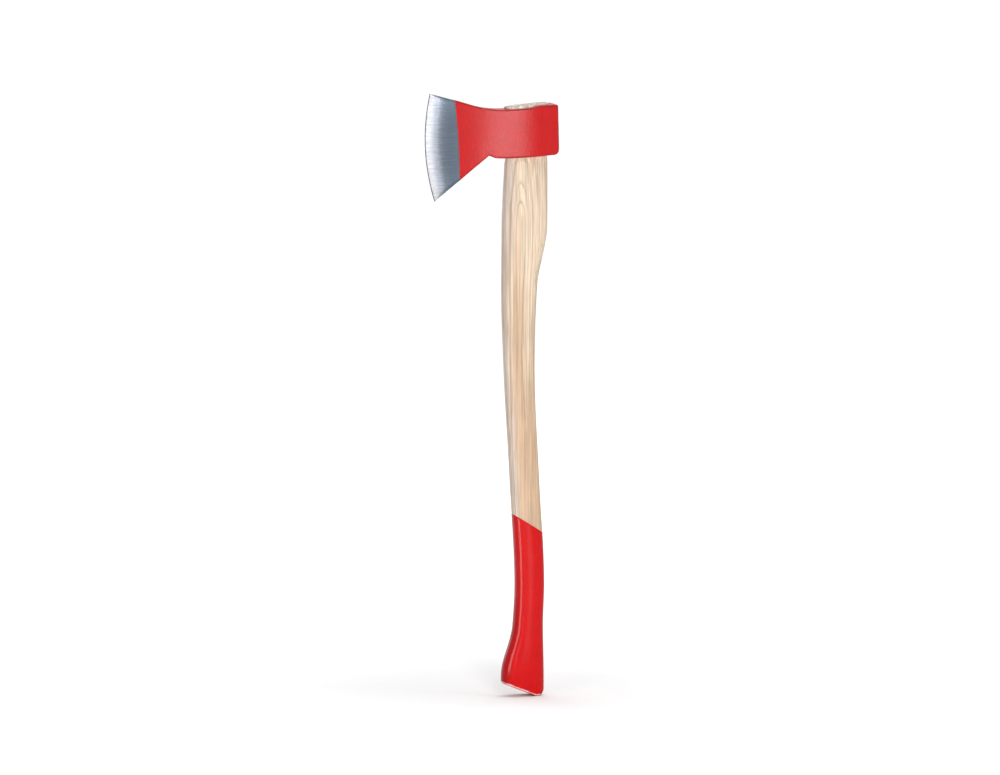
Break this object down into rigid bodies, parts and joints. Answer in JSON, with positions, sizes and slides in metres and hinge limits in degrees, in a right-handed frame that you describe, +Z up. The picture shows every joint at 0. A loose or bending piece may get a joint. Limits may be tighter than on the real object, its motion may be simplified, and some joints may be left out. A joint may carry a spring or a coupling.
{
  "type": "felling axe",
  "caption": "Long-handled single-bit axe: a forged head, painted red behind its bare ground bit, wedged onto a curved ash handle with a red-dipped grip and a flared butt.",
  "frame": {"origin": "under the middle of the head's length, in the plane of symmetry, at the lowest point of the butt", "axes": "+Z up along the handle to the head, -X towards the cutting edge, +Y across the head"},
  "size_m": [0.1848, 0.0374, 0.8169],
  "materials": {
    "bare_steel": "forged steel, ground bright along the bit",
    "head_red": "red enamel with a fine orange-peel surface",
    "ash_wood": "sanded ash with long grain",
    "grip_red": "glossy red dip paint",
    "wedge_wood": "sawn hardwood",
    "wedge_steel": "plain steel"
  },
  "bodies": {
    "root": {"head": "bare_steel", "head_paint": "head_red", "handle": "ash_wood", "grip_paint": "grip_red", "wooden_wedge": "wedge_wood", "front_steel_wedge": "wedge_steel", "rear_steel_wedge": "wedge_steel"}
  },
  "joints": []
}
